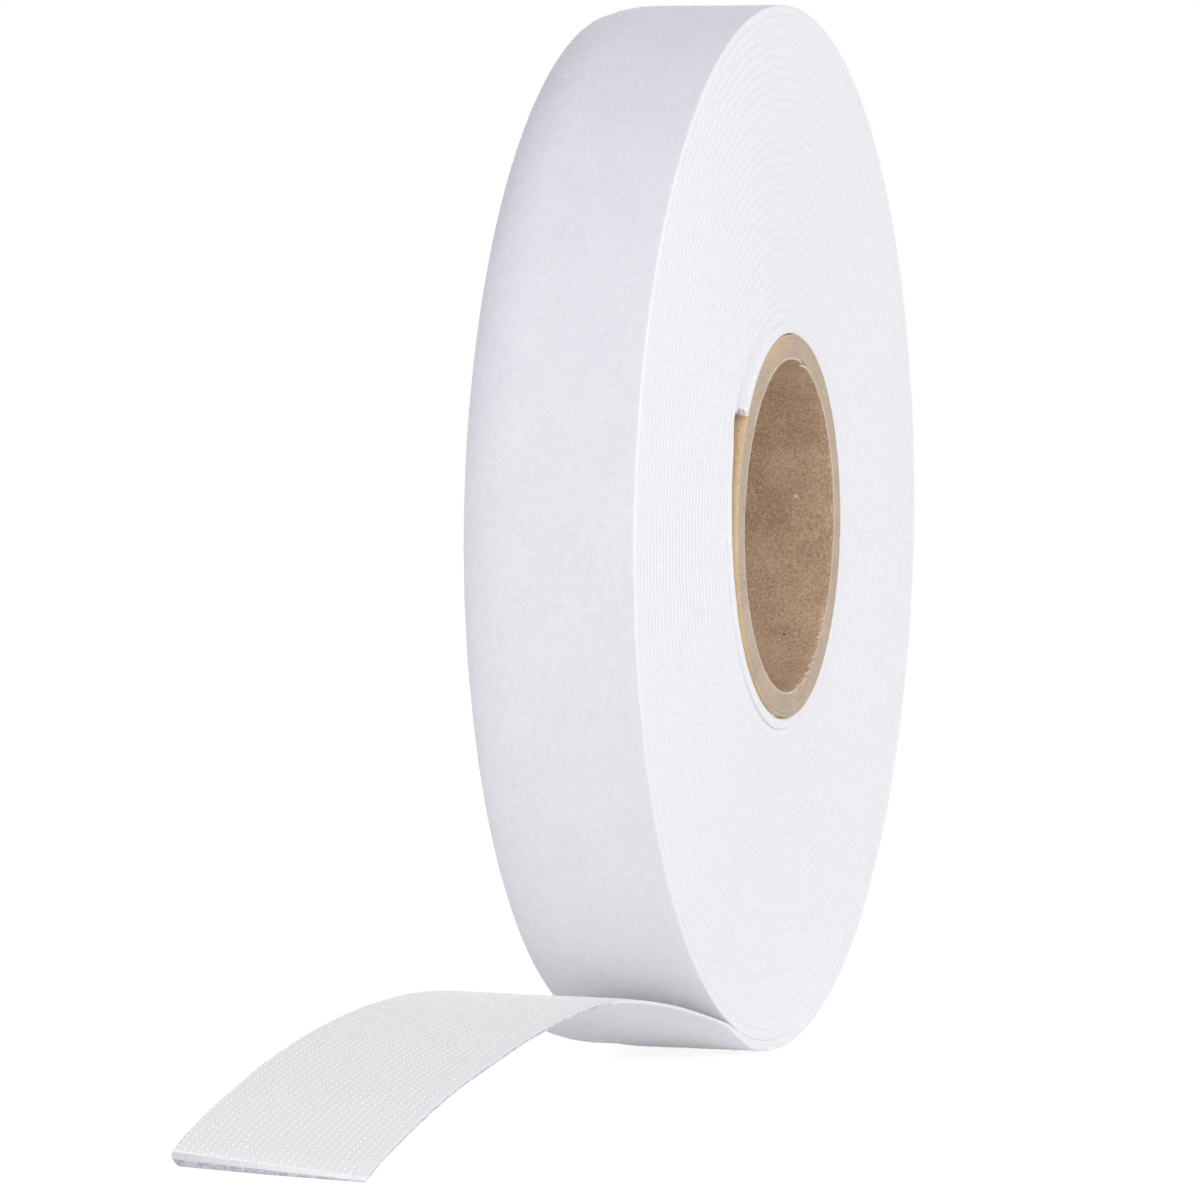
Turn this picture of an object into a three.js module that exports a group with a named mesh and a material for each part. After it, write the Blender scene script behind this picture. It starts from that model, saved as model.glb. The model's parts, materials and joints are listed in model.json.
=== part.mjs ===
// A roll of hook and loop tape: a two-ply tape wound on a paper core, with its free end let down in front.
// Millimetres. +X runs along the core, the free end lies towards -Y and +Z is up.
// The origin is on the floor, under the middle of the core.
import * as THREE from "three";

// Tape: a hook ply and a loop ply, bonded back to back with the hooks on the inside of the roll.
const TAPE_WIDTH = 25.4;
const HOOK_PLY = 0.55;
const BOND_LINE = 0.3;
const LOOP_PLY = 0.75;

// Paper core: a liner, a wall of chipboard plies and an outer ply.
const CORE_BORE = 50;
const CORE_LINER = 0.5;
const CORE_WALL = 2.2;
const CORE_OUTER_PLY = 0.5;
const GLUE_LINE = 0.3;
const CORE_PROUD = 1;
const CORE_FACETS = 48;

// Adhesive strip that holds the inner end of the tape to the core.
const STARTER_THICKNESS = 0.3;
const STARTER_WIDTH = 20;
const STARTER_FACETS = 2;
const SEAT_GAP = 0.3;

// Winding: flat-sided turns, with one flat of each turn on the floor side. Corners are counted from the front
// of the first such flat, and the tape leaves the roll some facets past the last one.
const TURNS = 23;
const FACETS = 24;
const START_CORNER = 8;
const LEAVE_FACETS = 1;
const TURN_GAP = 0.5;

// Free end: a straight rise off the roll, a long crest, and a tighter bend down to the floor.
const RISE_ANGLE = THREE.MathUtils.degToRad(12);
const RISE_LENGTH = 10;
const CREST_RADIUS = 305;
const CREST_END_ANGLE = THREE.MathUtils.degToRad(-15);
const CREST_STEPS = 10;
const TIP_RADIUS = 60;
const TIP_STEPS = 5;

const hookDepth = { near: 0, far: HOOK_PLY };
const loopDepth = { near: HOOK_PLY + BOND_LINE, far: HOOK_PLY + BOND_LINE + LOOP_PLY };
const tapeThickness = loopDepth.far;
const turnPitch = tapeThickness + TURN_GAP;

const linerInside = CORE_BORE / 2;
const wallInside = linerInside + CORE_LINER + GLUE_LINE;
const outerPlyInside = wallInside + CORE_WALL + GLUE_LINE;
const coreOutside = outerPlyInside + CORE_OUTER_PLY;
const coreLength = TAPE_WIDTH + 2 * CORE_PROUD;

const starterInside = coreOutside + SEAT_GAP;
const firstTurnInside = starterInside + STARTER_THICKNESS + SEAT_GAP;

const facetAngle = (2 * Math.PI) / FACETS;
const standingCorner = TURNS * FACETS;
const endCorner = standingCorner + LEAVE_FACETS;
const axisHeight = insideRadius(standingCorner) + tapeThickness;

// The direction out of the roll where the tape runs at a heading, which is measured up from -Y.
function outward(heading) {
  return new THREE.Vector2(-Math.sin(heading), -Math.cos(heading));
}

function along(heading) {
  return new THREE.Vector2(-Math.cos(heading), Math.sin(heading));
}

// Corners are counted from the front of a standing flat. The tape keeps its radius across each flat
// and climbs evenly over the other facets of the turn.
function turnsClimbed(corner) {
  return Math.floor(corner / FACETS) + (corner % FACETS) / (FACETS - 1);
}

function insideRadius(corner) {
  return firstTurnInside + turnPitch * (turnsClimbed(corner) - turnsClimbed(START_CORNER));
}

// A station is a point on the tape's inside face and the direction in which its thickness is laid off.
// At a corner between two facets that direction is longer, so the facets keep their thickness.
function cornerStation(corner, radius) {
  const out = outward((corner + 0.5) * facetAngle).divideScalar(Math.cos(facetAngle / 2));
  return { foot: out.clone().multiplyScalar(radius), out };
}

function cornerStations(firstCorner, lastCorner, radiusAt) {
  const stations = [];
  for (let corner = firstCorner; corner <= lastCorner; corner += 1) {
    stations.push(cornerStation(corner, radiusAt(corner)));
  }
  return stations;
}

// The free end starts a gap in front of the winding's last corner and ends with its underside on the floor.
function tailStations() {
  const stations = [];
  const place = (foot, heading) => stations.push({ foot, out: outward(heading) });
  const bend = (centre, radius, fromHeading, toHeading, steps) => {
    for (let step = 1; step <= steps; step += 1) {
      const heading = THREE.MathUtils.lerp(fromHeading, toHeading, step / steps);
      place(outward(heading).multiplyScalar(-radius).add(centre), heading);
    }
  };

  const leave = cornerStation(endCorner, insideRadius(endCorner)).foot;
  const riseStart = along(RISE_ANGLE).multiplyScalar(SEAT_GAP).add(leave);
  const riseEnd = along(RISE_ANGLE).multiplyScalar(RISE_LENGTH).add(riseStart);
  place(riseStart, RISE_ANGLE);
  place(riseEnd, RISE_ANGLE);

  const crestCentre = outward(RISE_ANGLE).multiplyScalar(CREST_RADIUS).add(riseEnd);
  bend(crestCentre, CREST_RADIUS, RISE_ANGLE, CREST_END_ANGLE, CREST_STEPS);

  const tipCentre = outward(CREST_END_ANGLE).multiplyScalar(TIP_RADIUS).add(stations.at(-1).foot);
  const dropToFloor = axisHeight + tipCentre.y;
  const floorHeading = -Math.acos(-dropToFloor / (TIP_RADIUS - tapeThickness));
  bend(tipCentre, TIP_RADIUS, CREST_END_ANGLE, floorHeading, TIP_STEPS);
  return stations;
}

// A band follows the stations, between two depths below the tape's inside face. It has four points
// at each station, and a closed end at the first and the last.
function bandGeometry(stations, { near, far }, width) {
  const positions = [];
  const triangles = [];
  const quad = (a, b, c, d) => triangles.push(a, b, c, a, c, d);
  for (const { foot, out } of stations) {
    for (const [side, depth] of [[-1, near], [1, near], [1, far], [-1, far]]) {
      positions.push((side * width) / 2, foot.x + out.x * depth, foot.y + out.y * depth);
    }
  }
  const last = 4 * (stations.length - 1);
  for (let from = 0; from < last; from += 4) {
    for (let edge = 0; edge < 4; edge += 1) {
      const next = (edge + 1) % 4;
      quad(from + edge, from + 4 + edge, from + 4 + next, from + next);
    }
  }
  quad(0, 1, 2, 3);
  quad(last + 3, last + 2, last + 1, last);

  const geometry = new THREE.BufferGeometry();
  geometry.setAttribute("position", new THREE.Float32BufferAttribute(positions, 3));
  geometry.setIndex(triangles);
  geometry.computeVertexNormals();
  return geometry;
}

// A ply of the core is a ring, revolved about the core's axis.
function ringGeometry(inside, thickness) {
  const half = coreLength / 2;
  const profile = [
    new THREE.Vector2(inside, -half),
    new THREE.Vector2(inside + thickness, -half),
    new THREE.Vector2(inside + thickness, half),
    new THREE.Vector2(inside, half),
    new THREE.Vector2(inside, -half),
  ];
  return new THREE.LatheGeometry(profile, CORE_FACETS).rotateZ(-Math.PI / 2);
}

// The gap from a ply's far face to its near face one turn later, at every corner of the winding.
function leastTurnGap(stations, { near, far }) {
  const at = ({ foot, out }, depth) => new THREE.Vector3(0, foot.x + out.x * depth, foot.y + out.y * depth);
  const closest = new THREE.Vector3();
  let least = Infinity;
  for (let i = 0; i + FACETS + 1 < stations.length; i += 1) {
    const corner = at(stations[i], far);
    const facing = new THREE.Line3(at(stations[i + FACETS], near), at(stations[i + FACETS + 1], near));
    least = Math.min(least, corner.distanceTo(facing.closestPointToPoint(corner, true, closest)));
  }
  return least;
}

function piece(name, geometry, color, roughness) {
  const mesh = new THREE.Mesh(geometry, new THREE.MeshStandardMaterial({ color, roughness, metalness: 0 }));
  mesh.name = name;
  return mesh;
}

const HOOK_WHITE = "#e6e6e8";
const LOOP_WHITE = "#e5e4ec";
const winding = cornerStations(START_CORNER, endCorner, insideRadius);
const tail = tailStations();
const starter = cornerStations(START_CORNER, START_CORNER + STARTER_FACETS, () => starterInside);

const roll = new THREE.Group();
roll.position.z = axisHeight;
roll.add(
  piece("core_liner", ringGeometry(linerInside, CORE_LINER), "#a2886f", 0.9),
  piece("core_wall", ringGeometry(wallInside, CORE_WALL), "#bbaa9b", 0.95),
  piece("core_outer_ply", ringGeometry(outerPlyInside, CORE_OUTER_PLY), "#d3b797", 0.85),
  piece("starter_strip", bandGeometry(starter, { near: 0, far: STARTER_THICKNESS }, STARTER_WIDTH), "#ded8c4", 0.6),
  piece("winding_hook_ply", bandGeometry(winding, hookDepth, TAPE_WIDTH), HOOK_WHITE, 0.7),
  piece("winding_loop_ply", bandGeometry(winding, loopDepth, TAPE_WIDTH), LOOP_WHITE, 0.95),
  piece("tail_hook_ply", bandGeometry(tail, hookDepth, TAPE_WIDTH), HOOK_WHITE, 0.7),
  piece("tail_loop_ply", bandGeometry(tail, loopDepth, TAPE_WIDTH), LOOP_WHITE, 0.95),
);

for (const [name, depth] of [["winding_hook_ply", hookDepth], ["winding_loop_ply", loopDepth]]) {
  console.log(`${name}: least gap between its turns ${leastTurnGap(winding, depth).toFixed(2)} mm`);
}

const tapeRoll = new THREE.Group();
tapeRoll.add(roll);

export default tapeRoll;
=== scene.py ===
# A roll of hook and loop tape: brushed loops outside, low hooks inside, wound on a paper core,
# with its free end let down in front. Metres. +X runs along the core and the free end lies towards -Y.
import json
import math
from collections import namedtuple

import bpy
import numpy as np
from mathutils import Matrix, Vector


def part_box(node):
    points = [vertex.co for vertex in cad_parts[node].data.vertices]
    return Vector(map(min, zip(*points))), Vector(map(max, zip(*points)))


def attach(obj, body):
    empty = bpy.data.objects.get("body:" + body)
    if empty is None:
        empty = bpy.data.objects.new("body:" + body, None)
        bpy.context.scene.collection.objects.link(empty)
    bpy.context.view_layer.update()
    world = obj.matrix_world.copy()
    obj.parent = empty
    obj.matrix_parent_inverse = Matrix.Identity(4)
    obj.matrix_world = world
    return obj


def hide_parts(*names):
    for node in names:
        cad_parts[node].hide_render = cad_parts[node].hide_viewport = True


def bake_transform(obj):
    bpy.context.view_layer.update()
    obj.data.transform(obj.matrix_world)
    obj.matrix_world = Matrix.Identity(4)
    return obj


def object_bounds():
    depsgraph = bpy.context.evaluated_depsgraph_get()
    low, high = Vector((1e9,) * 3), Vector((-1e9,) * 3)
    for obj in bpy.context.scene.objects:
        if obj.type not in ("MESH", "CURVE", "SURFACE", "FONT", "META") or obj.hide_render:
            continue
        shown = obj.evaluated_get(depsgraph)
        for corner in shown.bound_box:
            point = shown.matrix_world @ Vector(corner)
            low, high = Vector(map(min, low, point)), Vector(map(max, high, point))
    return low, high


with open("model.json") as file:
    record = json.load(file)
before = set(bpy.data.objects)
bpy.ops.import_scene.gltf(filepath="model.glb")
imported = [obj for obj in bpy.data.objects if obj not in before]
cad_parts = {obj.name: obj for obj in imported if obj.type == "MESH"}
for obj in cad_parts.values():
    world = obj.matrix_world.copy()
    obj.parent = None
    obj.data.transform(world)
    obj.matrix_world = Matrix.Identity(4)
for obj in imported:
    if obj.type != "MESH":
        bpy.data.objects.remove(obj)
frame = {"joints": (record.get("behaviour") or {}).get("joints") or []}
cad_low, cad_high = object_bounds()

MM = 0.001
PER_MM = 1000.0
DEGREE = math.radians(1)
TURN = 2 * math.pi

# Sizes that the frame holds
wind_on = next(joint for joint in frame["joints"] if joint["name"] == "wind_on")
AXIS_HEIGHT = wind_on["pos_m"][2]
TAPE_WIDTH = 2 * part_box("winding_loop_ply")[1][0]
CORE_HALF_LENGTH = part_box("core_wall")[1][0]
LINER_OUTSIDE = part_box("core_liner")[1][1]
CORE_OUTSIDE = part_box("core_outer_ply")[1][1]
STARTER_HALF_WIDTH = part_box("starter_strip")[1][0]

# Paper core
BORE_RADIUS = 25 * MM
OUTER_PLY = 0.5 * MM
GLUE_LINE = 0.02 * MM
WALL_PLIES = 6
CORE_SEGMENTS = 360

# Tape
TURN_GAP = 0.005 * MM
HOOK_HEIGHT = 0.19 * MM
STARTER_THICKNESS = 0.18 * MM
# Its long edges: their crown, the start of the flat beside a round, and the rounds as (across, deep) pairs.
# A covered turn has sharper edges than the outermost one, and the free end has its own.
EDGE_CROWN = 0.14 * MM
BESIDE_ROUND = 0.35 * MM
RIGHT_ROUND = (0.2 * MM, 0.2 * MM)
LEFT_ROUND = (6.0 * MM, 1.1 * MM)
FREE_LEFT_ROUND = (0.8 * MM, 0.6 * MM)
COVERED_ROUND = (0.015 * MM, 0.025 * MM)
WOUND_HOOK_ROUND = (0.012 * MM, 0.02 * MM)
FREE_HOOK_ROUND = (0.12 * MM, 0.15 * MM)

# Winding. An angle is measured from straight down towards the front, and grows along the tape.
# The tape is drawn as two pieces that meet at a seam at the back.
TURNS = 31
START_ANGLE = 126 * DEGREE
SEAM_ANGLE = -90 * DEGREE
SEAM_FADE = 15 * MM
FIRST_CLIMB = 0.16
SETTLE_TURNS = 20
UNCOVER_ANGLE = 0.25
COVERED_STATIONS = 120
OUTER_STATIONS = 400
END_STEP = 0.015 * DEGREE

# Free end: a straight rise off the roll, a long crest and a tighter bend down to the floor
RISE_ANGLE = 11.6 * DEGREE
RISE_LENGTH = 27 * MM
CREST_RADIUS = 304 * MM
CREST_END_ANGLE = -15.4 * DEGREE
TIP_RADIUS = 60 * MM
TAIL_SPACING = 0.8 * MM
# It is cut askew. Its right edge is thinner than the tape, and the left corner of its tip is thicker.
TIP_SKEW = 0.8 * MM
SKEW_FROM = 0.9
RIGHT_THINNER = 0.85 * MM
THINNED_BY = 0.1
LEFT_THICKER = 0.65 * MM
THICK_FROM = 0.95
# Where its left edge has lost the round it has on the roll, from where its edges get painted grey shade, and
# over what length its hooks begin
ROUND_FADE = 0.3
PAINTED_SHADE_FROM = 0.4
HOOKS_FADE = 6 * MM
# Its twist: how far its left side is up and its right side is down along it, in millimetres
TWIST_SHARES = (0, 0.02, 0.05, 0.09, 0.18, 0.28, 0.36, 0.42, 0.5, 0.6, 0.7, 0.8, 0.9, 1)
LEFT_UP = (0, -0.8, -1.6, -2.0, -1.3, 0.0, 0.7, 0.92, 1.1, 1.3, 1.55, 1.75, 2.0, 2.2)
RIGHT_DOWN = (0, -0.3, -0.75, -0.9, -0.5, -0.35, -0.45, -0.35, 0.35, 1.0, 1.5, 1.2, 0.95, 0.45)
TWIST_SMOOTHING = 6

# How far the first turns lie off the middle of the core, in millimetres, by turns from the inner end
SHIFT_TURNS = (0, 0.1, 0.17, 0.25, 0.4, 0.55, 0.66, 0.73, 0.82, 0.92, 0.96, 0.99, 1.0, 1.04, 1.15, 1.25, 1.5)
SHIFTS = (0.95, 0.8, 0.65, 0.35, 0.12, 0.12, 0.3, 0.42, 0.38, 0.3, 0.05, -0.55, -0.8, -0.5, -0.05, 0.1, 0)

# Random lines along the tape, as (step, amplitude) pairs
PILE_WANDER = (9 * MM, 0.012 * MM)
TURN_WANDER = (TURN / 3, 0.012 * MM)
TAPE_WANDER = (30 * MM, 0.008 * MM)
WOUND_EDGE_WANDER = (3 * MM, 0.015 * MM)
FREE_EDGE_WANDER = (2 * MM, 0.05 * MM)

FIRST_RADIUS = CORE_OUTSIDE + STARTER_THICKNESS
LAST_ANGLE = TURNS * TURN
SEAM = LAST_ANGLE + SEAM_ANGLE
LEAVE_ANGLE = LAST_ANGLE + RISE_ANGLE
PITCH = (AXIS_HEIGHT - FIRST_RADIUS + TURN_GAP) / (TURNS + 1 - START_ANGLE / TURN)
TAPE_THICKNESS = PITCH - TURN_GAP

rng = np.random.default_rng(31)


# Geometry helpers

def outward(angle):
    """The direction out of the roll, as (y, z)."""
    return np.stack([-np.sin(angle), -np.cos(angle)], axis=-1)


def forward(angle):
    """The direction along the tape, as (y, z)."""
    return np.stack([-np.cos(angle), np.sin(angle)], axis=-1)


def on_roll(x, angle, radius):
    """Points at places along the axis, angles round it and distances from it."""
    x, angle, radius = np.broadcast_arrays(x, angle, radius)
    yz = outward(angle) * radius[..., None] + [0, AXIS_HEIGHT]
    return np.concatenate([x[..., None], yz], axis=-1)


def smooth(share):
    """0 below 0, 1 above 1 and an even curve between them."""
    share = np.clip(share, 0, 1)
    return share * share * (3 - 2 * share)


def eased(share, first_round, second_round):
    """A round between two others, as an (across, deep) pair with a value per station."""
    return [first + (second - first) * share for first, second in zip(first_round, second_round)]


def unit(vectors):
    return vectors / np.linalg.norm(vectors, axis=-1, keepdims=True)


def wander(places, step, amplitude):
    """A smooth random line: a random height every step, eased from one to the next."""
    at = (places - places.min()) / step
    heights = rng.uniform(-1, 1, int(at.max()) + 2)
    low = at.astype(int)
    return amplitude * (heights[low] + (heights[low + 1] - heights[low]) * smooth(at - low))


def add_object(name, data):
    thing = bpy.data.objects.new(name, data)
    bpy.context.scene.collection.objects.link(thing)
    return thing


def add_piece(name, vertices, faces, materials, face_materials=None, uv=None, smooth_faces=True):
    mesh = bpy.data.meshes.new(name)
    mesh.from_pydata(np.asarray(vertices).tolist(), [], [list(face) for face in faces])
    for material in materials:
        mesh.materials.append(material)
    if face_materials is not None:
        mesh.polygons.foreach_set("material_index", np.asarray(face_materials, np.int32))
    if uv is not None:
        corner_vertices = np.empty(len(mesh.loops), np.int32)
        mesh.loops.foreach_get("vertex_index", corner_vertices)
        layer = mesh.uv_layers.new(name="tape")
        layer.data.foreach_set("uv", np.asarray(uv, np.float32)[corner_vertices].ravel())
    if smooth_faces:
        mesh.shade_smooth()
    else:
        mesh.shade_flat()
    mesh.validate()
    return add_object(name, mesh)


def grid_faces(rows, columns, closed_rows=False):
    """Quads of a grid of points, row by row. Each row is a closed ring."""
    last_row = rows if closed_rows else rows - 1
    row, column = np.meshgrid(np.arange(last_row), np.arange(columns), indexing="ij")
    next_row = (row + 1) % rows
    next_column = (column + 1) % columns
    corners = [row * columns + column, next_row * columns + column,
               next_row * columns + next_column, row * columns + next_column]
    return np.stack(corners, axis=-1).reshape(-1, 4)


def tubes(paths, radii, side_axis, sides):
    """Vertices and faces of many short tubes. paths is (tubes, rings, 3), and side_axis lies across each
    tube."""
    count, rings, _ = paths.shape
    along = unit(np.gradient(paths, axis=1))
    across = np.broadcast_to(side_axis[:, None, :], paths.shape)
    across = unit(across - along * np.sum(across * along, axis=2, keepdims=True))
    above = np.cross(along, across)
    turn = np.arange(sides) * TURN / sides
    ring = (across[:, :, None] * np.cos(turn)[:, None] + above[:, :, None] * np.sin(turn)[:, None])
    vertices = paths[:, :, None] + ring * radii[:, :, None, None]
    first = np.arange(count)[:, None] * rings * sides
    walls = grid_faces(rings, sides)[:, ::-1]
    faces = (first[:, :, None] + walls[None]).reshape(-1, 4).tolist()
    cap = np.arange(sides)
    faces += (first + cap[::-1]).tolist()
    faces += (first + (rings - 1) * sides + cap).tolist()
    return vertices.reshape(-1, 3), faces


# Path of the tape

def radius_at(angle):
    """Radius of the tape's inside face. The first turn hugs the core and climbs where the tape began.
    Later turns climb more and more evenly."""
    turns = (angle - START_ANGLE) / TURN
    whole = np.floor(turns)
    even = turns - whole
    step = smooth((even - 1 + FIRST_CLIMB) / FIRST_CLIMB)
    settled = np.minimum(1, whole / SETTLE_TURNS)
    return FIRST_RADIUS + PITCH * (whole + step + (even - step) * settled)


# Stations along the tape: feet (y, z) on its inside face, headings and lengths, and how its sides lie:
# how far the left one is up, the right one is down and the right one is back.
Path = namedtuple("Path", "foot heading length rise sag back")


def level_path(foot, heading, length):
    """A path without twist or skew."""
    return Path(foot, heading, length, 0 * length, 0 * length, 0 * length)


def joined(first, second, turned_back=0.0):
    """Two paths, one after the other. The first one's headings are turned back by whole turns."""
    foot = np.concatenate([first.foot, second.foot[1:]])
    heading = np.concatenate([first.heading - turned_back, second.heading[1:]])
    return level_path(foot, heading, np.concatenate([first.length, second.length[1:] + first.length[-1]]))


def rest_of(path, start):
    """The part of a path from a length on."""
    kept = path.length >= start
    return Path(*(values[kept] for values in path))._replace(length=path.length[kept] - start)


def wound_path(first_angle, last_angle, steps_per_turn):
    """A part of the winding, with its stations at even angles and one more close to each end, so that
    the tape is shaded evenly up to its end faces."""
    steps = math.ceil((last_angle - first_angle) / TURN * steps_per_turn)
    angle = np.linspace(first_angle, last_angle, steps + 1)
    angle = np.insert(angle, [1, steps], [first_angle + END_STEP, last_angle - END_STEP])
    radius = radius_at(angle)
    stretches = np.diff(angle) * (radius[1:] + radius[:-1]) / 2
    foot = outward(angle) * radius[:, None] + [0, AXIS_HEIGHT]
    return level_path(foot, angle, np.concatenate([[0], np.cumsum(stretches)]))


def tail_path(spacing):
    """The free end, from where it leaves the roll to its tip on the floor."""
    foot = outward(LEAVE_ANGLE) * radius_at(LEAVE_ANGLE) + [0, AXIS_HEIGHT]
    feet, headings, lengths = [foot], [RISE_ANGLE], [0.0]

    def run(length, end_heading):
        steps = math.ceil(length / spacing)
        start_heading = headings[-1]
        for step in range(1, steps + 1):
            middle = start_heading + (end_heading - start_heading) * (step - 0.5) / steps
            feet.append(feet[-1] + forward(middle) * length / steps)
            headings.append(start_heading + (end_heading - start_heading) * step / steps)
            lengths.append(lengths[-1] + length / steps)

    run(RISE_LENGTH, RISE_ANGLE)
    run(CREST_RADIUS * (RISE_ANGLE - CREST_END_ANGLE), CREST_END_ANGLE)
    tip_centre_height = feet[-1][1] - math.cos(CREST_END_ANGLE) * TIP_RADIUS
    floor_heading = -math.acos(-tip_centre_height / (TIP_RADIUS - TAPE_THICKNESS))
    run(TIP_RADIUS * (CREST_END_ANGLE - floor_heading), floor_heading)
    return level_path(np.array(feet), np.array(headings), np.array(lengths))


def tail_share(path, wrap_length):
    """0 where the free end leaves the roll, 1 at its tip."""
    return np.clip((path.length - wrap_length) / (path.length[-1] - wrap_length), 0, 1)


def free_path(spacing):
    """The last quarter turn and the free end as one path, and the length of the quarter turn.
    The free end is twisted, and cut askew."""
    wrap = wound_path(SEAM, LEAVE_ANGLE, TURN * AXIS_HEIGHT / spacing)
    path = joined(wrap, tail_path(spacing), LAST_ANGLE)
    share = tail_share(path, wrap.length[-1])
    window = np.full(2 * TWIST_SMOOTHING + 1, 1 / (2 * TWIST_SMOOTHING + 1))

    def twist(heights):
        even = np.interp(share, TWIST_SHARES, heights) * MM
        return np.convolve(np.pad(even, TWIST_SMOOTHING, mode="edge"), window, "valid")

    askew = TIP_SKEW * smooth((share - SKEW_FROM) / (1 - SKEW_FROM))
    return path._replace(rise=twist(LEFT_UP), sag=twist(RIGHT_DOWN), back=askew), wrap.length[-1]


def points_on(path, at, x, depth):
    """Points at lengths along the tape, places across it and depths below its inside face, with the
    directions along the tape and out of the roll."""
    at, x, depth = np.broadcast_arrays(at, x, depth)

    def there(values):
        return np.interp(at, path.length, values)

    heading = there(path.heading)
    right = 0.5 + x / TAPE_WIDTH
    zero = np.zeros_like(x)
    ahead = np.concatenate([zero[..., None], forward(heading)], axis=-1)
    out = np.concatenate([zero[..., None], outward(heading)], axis=-1)
    tilt = there(path.rise) * (1 - right) - there(path.sag) * right
    points = np.stack([x, there(path.foot[:, 0]), there(path.foot[:, 1]) + tilt], axis=-1)
    return points + out * depth[..., None] - ahead * (there(path.back) * right)[..., None], ahead, out


def axial_shift(angle):
    """How far the first turns lie off the middle of the core: the start stands proud of the turn over it."""
    return np.interp((angle - START_ANGLE) / TURN, SHIFT_TURNS, SHIFTS) * MM


# Shares of an edge's depth that have a point
EDGE_SHARES = (0.1, 0.5, 0.9)


def section(half_width, near, far, near_round, left_round, right_round, far_columns):
    """Points of the tape's section as x and depth, with a row per station. The rounds are (across, deep)
    pairs, the edges are slightly crowned and the far side, with the left and right rounds, is the loop side,
    which falls away more and more to the left. Points close beside the rounds keep the rest of both sides
    flat."""
    corner = np.radians([0, 30, 60, 90])
    points = []

    def arc(side, depth_edge, inward, rounds, angles):
        for angle in angles:
            x = side * (half_width - rounds[0] * (1 - np.cos(angle)))
            points.append((x, depth_edge + inward * rounds[1] * (1 - np.sin(angle))))

    def crowned_edge(side, far_round, shares):
        for share in shares:
            depth = near + near_round[1] + share * (far - far_round[1] - near - near_round[1])
            points.append((side * (half_width + 4 * share * (1 - share) * EDGE_CROWN), depth))

    arc(1, near, 1, near_round, corner[::-1][::3])
    crowned_edge(1, right_round, EDGE_SHARES)
    arc(1, far, -1, right_round, corner)
    flat_right = half_width - right_round[0] - BESIDE_ROUND
    flat_left = left_round[0] + BESIDE_ROUND - half_width
    for share in np.linspace(0, 1, far_columns - 1):
        points.append((flat_right + share * (flat_left - flat_right), far))
    for share in (0, 1 / 3, 2 / 3, 1):
        points.append((left_round[0] * (1 - share) - half_width, far - left_round[1] * share ** 2))
    crowned_edge(-1, left_round, EDGE_SHARES[::-1])
    arc(-1, near, 1, near_round, corner[::3])
    for side in (-1, 1):
        points.append((side * (half_width - near_round[0] - BESIDE_ROUND), near))
    return [np.stack([value + 0 * far for value in values], axis=1) for values in zip(*points)]


# Materials of the tape, and which faces round its section have them. The other faces are the loop side.
# The fourth look is grey-blue painted shade, for the loop ply's cut and the free end's edges
LOOPS, EDGE, FILM, SHADED_CUT = range(4)
EDGE_FACES = [0, 1, 2, 3, 4, -8, -7, -6, -5, -4]
HOOK_FACES = [-3, -2, -1]
# Faces of the free end's edges that are given the painted grey shade
PAINTED_SHADE_FACES = [2, 3, 4, 5, 6, -10, -9, -8, -7, -6]
# The points at which the cut ends change from the hook ply to the loop ply
RIGHT_SPLIT = 4
LEFT_SPLIT = -7
# The share of the half width from which the edges are uneven
UNEVEN_FROM = 0.93


def thinned(share, x):
    """How much thinner the free end is, at a share of its length and a place across it."""
    right = RIGHT_THINNER * smooth(share / THINNED_BY)
    left = LEFT_THICKER * smooth((share - THICK_FROM) / (1 - THICK_FROM))
    return np.where(x > 0, right, left) * x / (TAPE_WIDTH / 2)


def tape_piece(name, path, near, far, near_round, left_round, right_round, far_columns, shift, edge_noise,
               share):
    """A closed band of tape along a path, with a loop side, two edges and a hook side. The share is 0 on the
    roll and grows along the free end, where the edges beside the loops get painted grey shade."""
    stations = len(path.length)
    x, depth = section(TAPE_WIDTH / 2, near, far, near_round, left_round, right_round, far_columns)
    points = x.shape[1]
    side = np.sign(x)
    near_edge = np.abs(x) > UNEVEN_FROM * TAPE_WIDTH / 2
    uneven = np.where(side > 0, edge_noise[0][:, None], edge_noise[1][:, None])
    x = x + shift[:, None] + side * near_edge * uneven
    thinner = thinned(share[:, None], x) / (far - near)[:, None]
    depth = near[:, None] + (depth - near[:, None]) * (1 - thinner)
    vertices = points_on(path, path.length[:, None], x, depth)[0].reshape(-1, 3)
    vertices[:, 2] = np.maximum(vertices[:, 2], 0)

    faces = grid_faces(stations, points)
    around = np.abs(np.diff(x, axis=1)) + np.abs(np.diff(depth, axis=1))
    v = np.concatenate([np.zeros((stations, 1)), np.cumsum(around, axis=1)], axis=1)
    uv = np.stack([np.broadcast_to(path.length[:, None], v.shape), v], axis=-1).reshape(-1, 2)
    kinds = np.full((stations - 1, points), LOOPS)
    kinds[:, EDGE_FACES] = EDGE
    kinds[:, HOOK_FACES] = FILM
    # The free end's edges beside the loops get painted grey shade
    kinds[np.ix_(share[:-1] > PAINTED_SHADE_FROM, PAINTED_SHADE_FACES)] = SHADED_CUT
    hook_cut = [*range(points + LEFT_SPLIT, points), *range(RIGHT_SPLIT + 1)]
    loop_cut = list(range(RIGHT_SPLIT, points + LEFT_SPLIT + 1))
    last = (stations - 1) * points
    faces = faces.tolist() + [hook_cut, loop_cut]
    faces += [[last + point for point in reversed(cut)] for cut in (hook_cut, loop_cut)]
    # At the far end the loop ply's cut face gets the painted grey shade; the other cut faces have the edge
    # look
    face_materials = np.concatenate([kinds.ravel(), [EDGE, EDGE, EDGE, SHADED_CUT]])
    return add_piece(name, vertices, faces, tape_looks, face_materials, uv)


# Materials

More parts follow.
